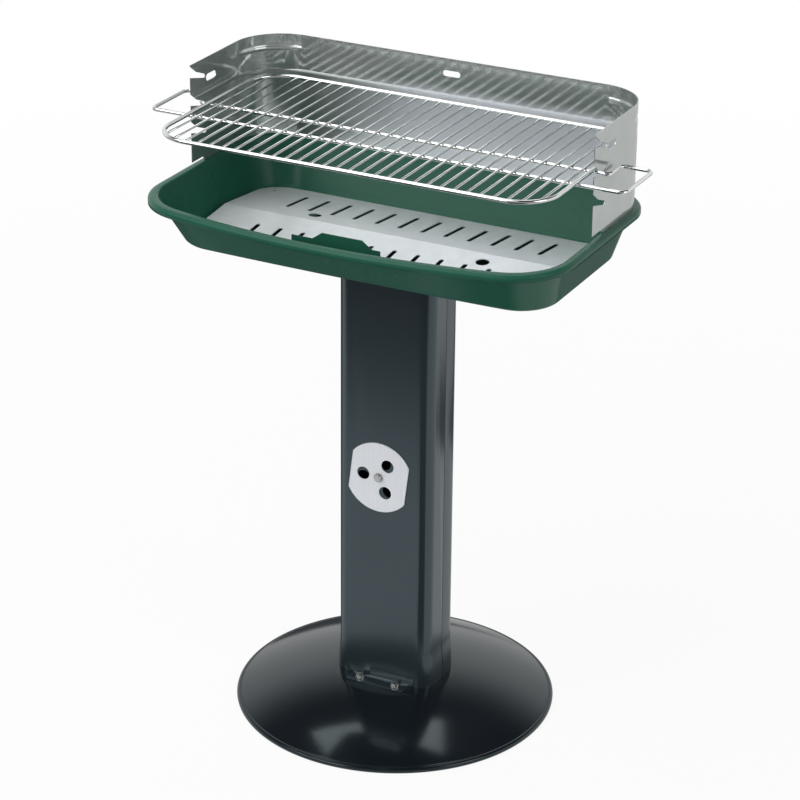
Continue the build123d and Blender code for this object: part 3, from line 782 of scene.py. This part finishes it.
# Dark cards that only gloss and metal see. Three lie on the floor: below the camera for the column's front
# corner, at the left rear for the pan's front wall and at the right rear for its right end. One hangs in
# front of the pan and keeps the key lamp out of the column's image on the plinth.
floor_card_z = 0.002
hanging_card_z = 0.62
column_card = [(0.02, -0.25), (0.19, -0.17), (1.65, -1.48), (0.00, -2.20)]
front_wall_card = [(-1.70, 0.00), (-0.12, 0.00), (-0.12, 2.40), (-1.70, 2.40)]
right_end_card = [(0.20, 0.74), (0.52, 0.74), (0.52, 1.70), (0.20, 1.70)]
hanging_card = [(-0.50, -0.70), (0.10, -0.70), (0.10, -0.21), (-0.50, -0.21)]
card_corners = np.array([column_card, front_wall_card, right_end_card, hanging_card])
card_z = np.array([floor_card_z, floor_card_z, floor_card_z, hanging_card_z])
card_heights = np.broadcast_to(card_z[:, None, None], (len(card_z), 4, 1))
corners_as_grid = [0, 1, 3, 2]
card_points = np.concatenate([card_corners, card_heights], axis=2)[:, corners_as_grid].reshape(-1, 2, 2, 3)
cards = grid_piece("dark_cards", card_points)
felt = new_material("dark_felt")
soft = add(felt, "ShaderNodeBsdfDiffuse", {"Color": linear("#505356")})
add(felt, "ShaderNodeOutputMaterial", {"Surface": soft.outputs[0]})
cards.data.materials.append(felt)
cards.visible_camera = False
cards.visible_diffuse = False
cards.visible_shadow = False

# The surround is white to the camera. Gloss and metal see it white behind the object and darker above and in
# front of it.
surround = bpy.data.worlds.new("studio_surround")
surround.use_nodes = True
surround.node_tree.nodes.clear()
direct, mirrored = seen_rays(surround)
heading = add(surround, "ShaderNodeTexCoord").outputs["Generated"]
parts = add(surround, "ShaderNodeSeparateXYZ", {"Vector": heading}).outputs
upward = {
    "Value": parts["Z"],
    "From Min": ceiling_start,
    "From Max": ceiling_end,
    "To Min": 1.0,
    "To Max": ceiling_level,
}
ceiling = add(surround, "ShaderNodeMapRange", upward, interpolation_type="SMOOTHSTEP").outputs["Result"]
rearward = {
    "Value": parts["Y"],
    "From Min": backdrop_front,
    "From Max": backdrop_back,
    "To Min": backdrop_front_level,
    "To Max": 1.0,
}
backdrop = add(surround, "ShaderNodeMapRange", rearward, interpolation_type="SMOOTHSTEP").outputs["Result"]
mirrored_level = add(surround, "ShaderNodeMath", {0: ceiling, 1: backdrop}, operation="MULTIPLY").outputs[0]
unseen_level = add(surround, "ShaderNodeMix", {0: mirrored, 2: surround_level, 3: mirrored_level}).outputs[0]
level = add(surround, "ShaderNodeMath", {0: direct, 1: unseen_level}, operation="MAXIMUM").outputs[0]
sky = add(surround, "ShaderNodeBackground", {"Color": linear("#ffffff"), "Strength": level})
add(surround, "ShaderNodeOutputWorld", {"Surface": sky.outputs[0]})
bpy.context.scene.world = surround

for name, place, size, power in (
    ("key_lamp", (-1.1, -1.3, 3.0), (2.6, 2.6), 56),
    ("front_lamp", (-1.05, -2.1, 1.6), (1.6, 1.2), 16),
    ("side_lamp", (2.6, -0.6, 1.8), (1.4, 1.4), 16),
    ("rear_lamp", (-0.54, 0.74, 2.2), (1.32, 0.75), 7.5),
):
    lamp = bpy.data.lights.new(name, "AREA")
    lamp.shape = "RECTANGLE"
    lamp.size = size[0]
    lamp.size_y = size[1]
    lamp.energy = power
    holder = bpy.data.objects.new(name, lamp)
    holder.visible_camera = False
    bpy.context.scene.collection.objects.link(holder)
    aim = lamp_aim - Vector(place)
    holder.matrix_world = Matrix.Translation(place) @ aim.to_track_quat("-Z", "Y").to_matrix().to_4x4()

# Camera
# The place, turn and lens that lay the real sizes over the photograph.
azimuth = math.radians(26.92)
elevation = math.radians(24.36)
tilt = math.radians(0.53)
target = np.array([0, 0, 0.5245])
distance = 3.6833
slide_right = 0.00252
slide_up = -0.08136
level_right = np.array([math.cos(azimuth), math.sin(azimuth), 0])
level_ahead = np.array([-math.sin(azimuth), math.cos(azimuth), 0])
ahead = math.cos(elevation) * level_ahead - math.sin(elevation) * np.array([0, 0, 1])
level_up = np.cross(level_right, ahead)
right = math.cos(tilt) * level_right + math.sin(tilt) * level_up
up = -math.sin(tilt) * level_right + math.cos(tilt) * level_up
stand_point = target - distance * ahead + slide_right * right + slide_up * up
lens = bpy.data.cameras.new("photo_camera")
lens.sensor_width = 36.0
lens.lens = 128.62
camera = bpy.data.objects.new("photo_camera", lens)
bpy.context.scene.collection.objects.link(camera)
facing = np.column_stack([right, up, -ahead])
camera.matrix_world = Matrix.Translation(stand_point.tolist()) @ Matrix(facing.tolist()).to_4x4()
bpy.context.scene.camera = camera
bpy.context.scene.view_settings.view_transform = "Standard"
